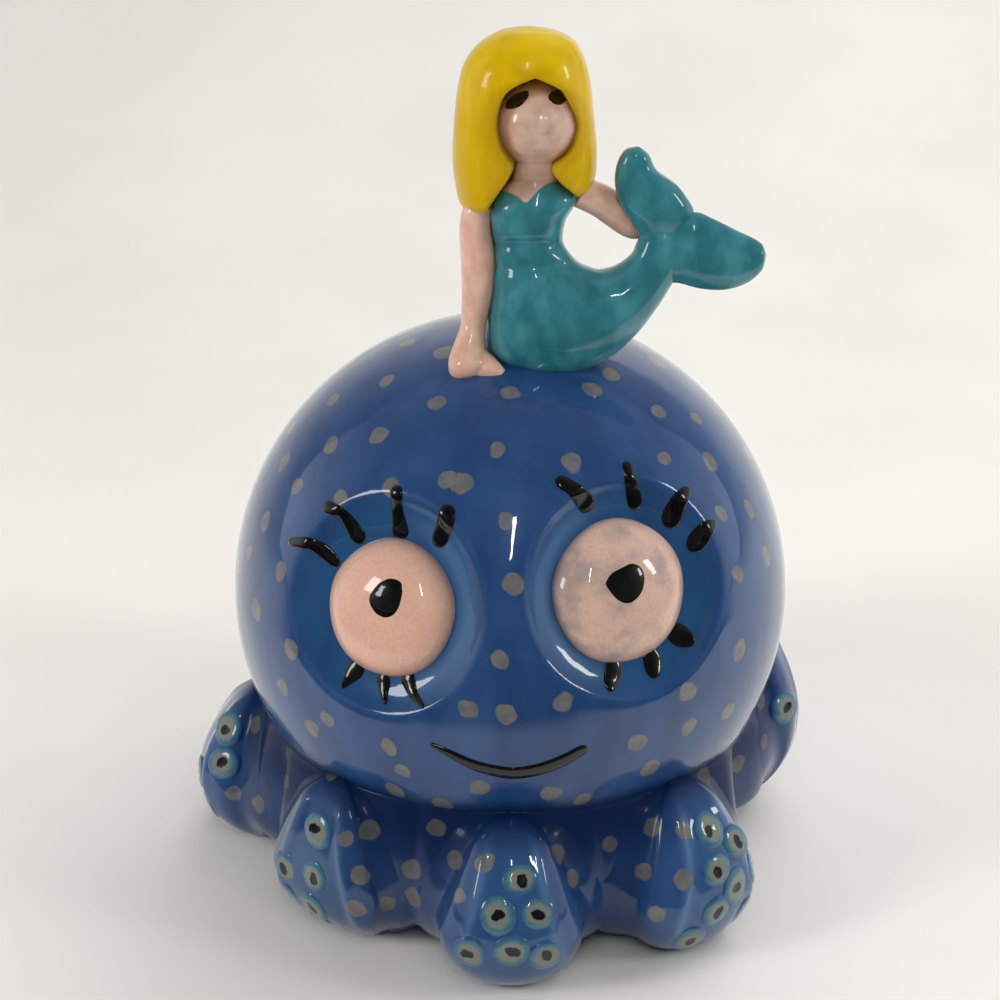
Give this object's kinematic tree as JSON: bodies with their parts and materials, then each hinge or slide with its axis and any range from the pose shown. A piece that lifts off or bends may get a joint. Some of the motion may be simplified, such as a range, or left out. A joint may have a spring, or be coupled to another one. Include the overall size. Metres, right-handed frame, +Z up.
{
  "type": "octopus figurine",
  "caption": "Glazed ceramic octopus ornament: a round hollow head with domed eyes on a ring of curled arms, and a small mermaid seated on top.",
  "frame": {"origin": "on the table, under the middle of the figurine", "axes": "+Z up, the face looks along -Y, +X to the right as seen from the front"},
  "size_m": [0.1296, 0.1324, 0.1671],
  "materials": {
    "blue_glaze": "gloss, spotted",
    "sucker_glaze": "gloss, ringed",
    "eye_glaze": "gloss",
    "black_enamel": "gloss",
    "tail_glaze": "gloss",
    "skin_glaze": "gloss",
    "hair_glaze": "gloss"
  },
  "bodies": {
    "root": {"head_shell": "blue_glaze", "base_collar": "blue_glaze", "smile_line": "black_enamel", "arm_front": "blue_glaze", "suckers_front": "sucker_glaze", "arm_front_right": "blue_glaze", "suckers_front_right": "sucker_glaze", "arm_right": "blue_glaze", "suckers_right": "sucker_glaze", "arm_back_right": "blue_glaze", "suckers_back_right": "sucker_glaze", "arm_back": "blue_glaze", "suckers_back": "sucker_glaze", "arm_back_left": "blue_glaze", "suckers_back_left": "sucker_glaze", "arm_left": "blue_glaze", "suckers_left": "sucker_glaze", "arm_front_left": "blue_glaze", "suckers_front_left": "sucker_glaze", "eye_left": "eye_glaze", "pupil_left": "black_enamel", "upper_lashes_left": "black_enamel", "lower_lashes_left": "black_enamel", "eye_right": "eye_glaze", "pupil_right": "black_enamel", "upper_lashes_right": "black_enamel", "lower_lashes_right": "black_enamel", "mermaid_body": "tail_glaze", "mermaid_fluke": "tail_glaze", "mermaid_head": "skin_glaze", "mermaid_hair": "hair_glaze", "mermaid_arm_left": "skin_glaze", "mermaid_arm_right": "skin_glaze", "mermaid_eyes": "black_enamel"}
  },
  "joints": []
}
